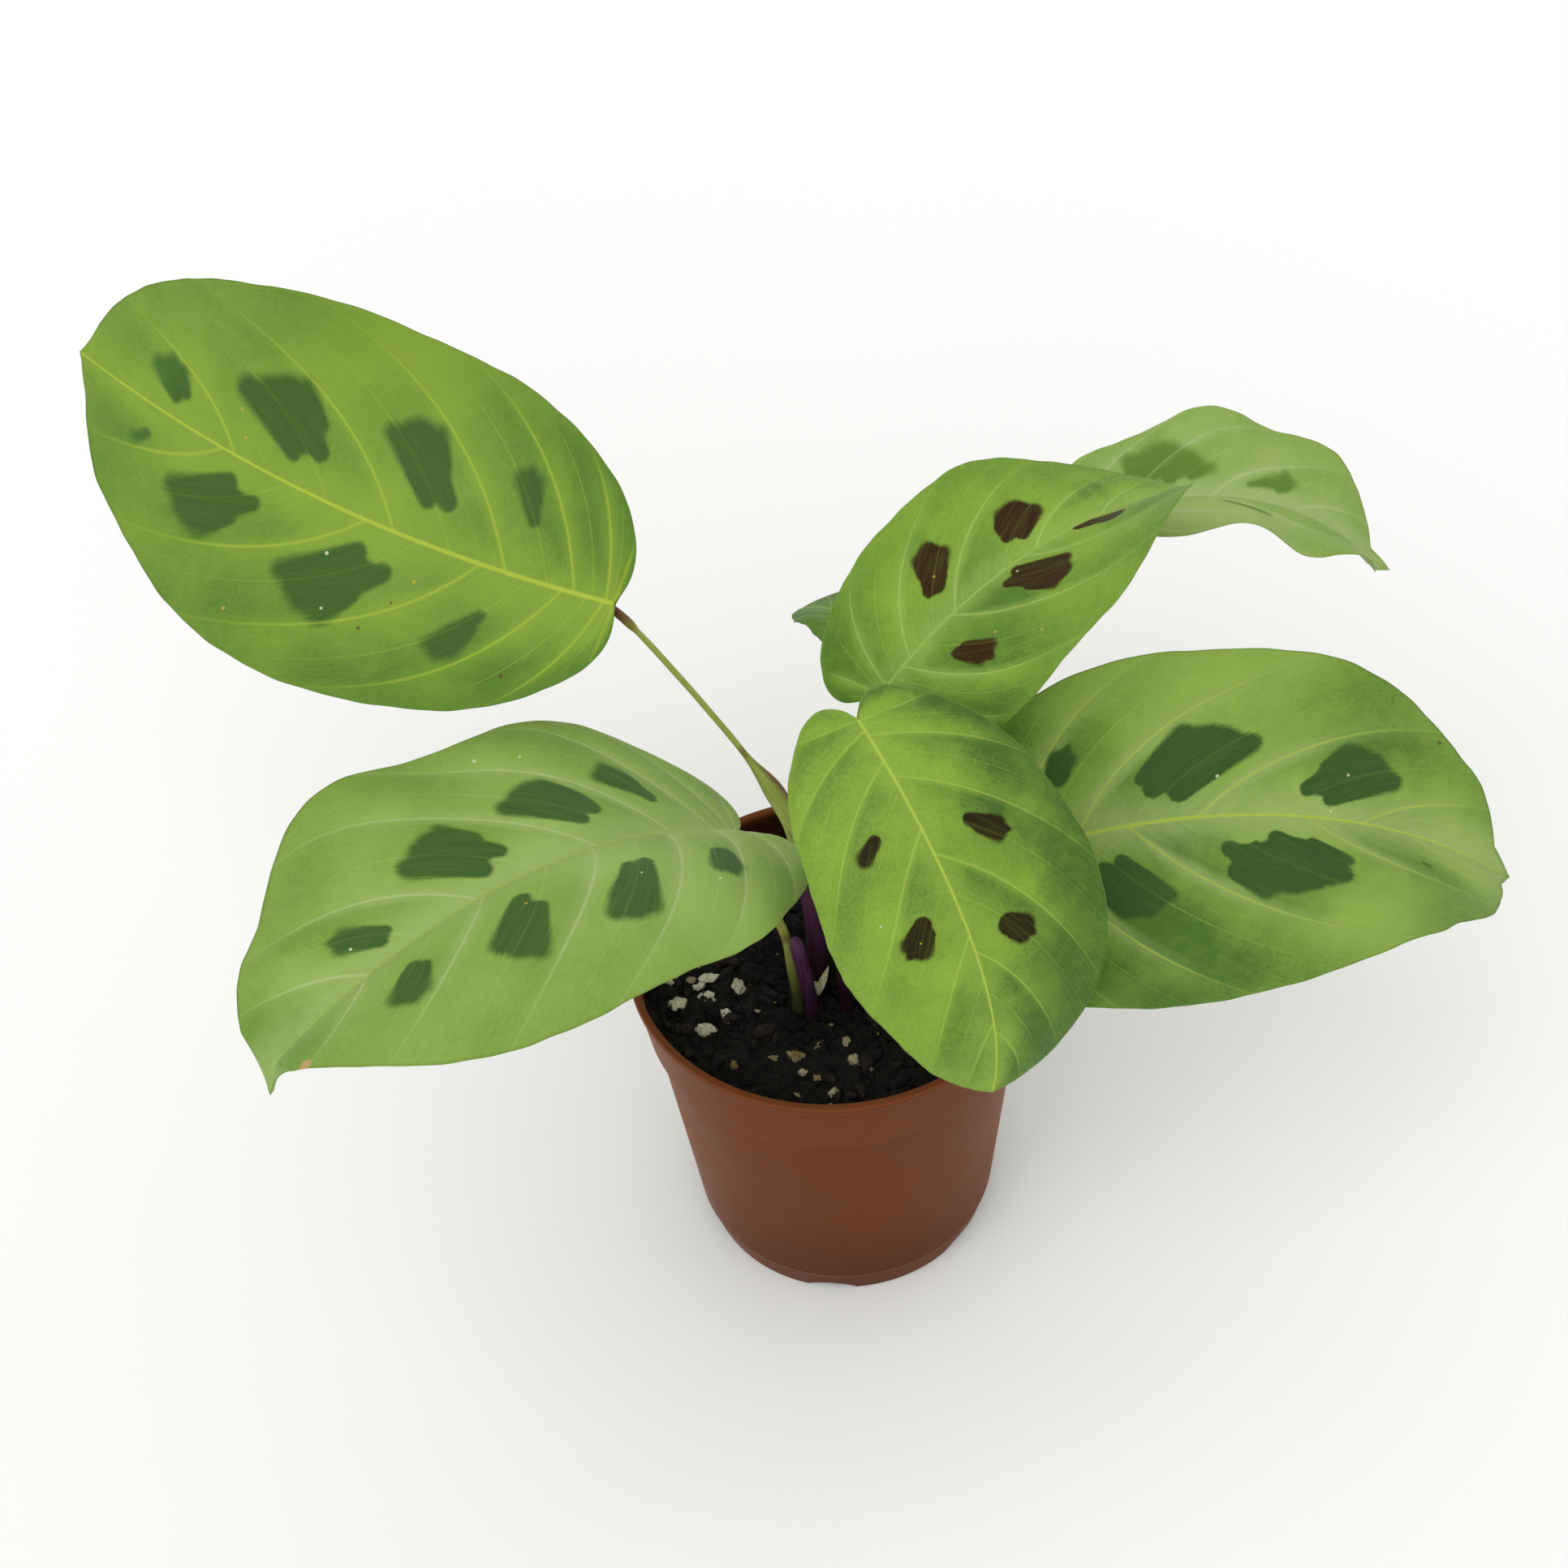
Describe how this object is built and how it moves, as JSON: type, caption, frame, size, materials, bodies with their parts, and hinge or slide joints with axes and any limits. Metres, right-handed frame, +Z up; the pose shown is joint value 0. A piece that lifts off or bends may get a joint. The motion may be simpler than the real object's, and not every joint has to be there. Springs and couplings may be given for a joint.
{
  "type": "potted prayer plant",
  "caption": "Young prayer plant in a small round nursery pot: broad oval blades with dark spots between the veins, on slender stalks that rise from dark soil.",
  "frame": {"origin": "middle of the pot's flat underside, where it stands", "axes": "+Z up along the pot's axis, -Y towards the front that the picture shows, +X to the right"},
  "size_m": [0.2193, 0.1363, 0.1547],
  "materials": {
    "pot_plastic": "thin moulded terracotta-brown plastic, satin, slightly lighter on its edges",
    "soil": "nearly black, moist, lumpy potting soil with white and beige perlite grains",
    "blade": "thin living leaf, yellow-green with lighter veins and dark green to brown spots between the veins, soft sheen",
    "stalk": "olive green with purple-red sheath edges and a brownish joint under the blade, satin",
    "shoot": "violet young shoot, satin",
    "bract": "pale, papery, yellowish white"
  },
  "bodies": {
    "root": {"pot": "pot_plastic", "soil": "soil", "blade_upper_left": "blade", "blade_lower_left": "blade", "blade_front": "blade", "blade_right": "blade", "blade_centre": "blade", "blade_far_right": "blade", "blade_back": "blade", "stalk_upper_left": "stalk", "stalk_lower_left": "stalk", "stalk_front": "stalk", "stalk_right": "stalk", "stalk_centre": "stalk", "stalk_far_right": "stalk", "stalk_back": "stalk", "young_shoot": "shoot", "bract": "bract"}
  },
  "joints": []
}
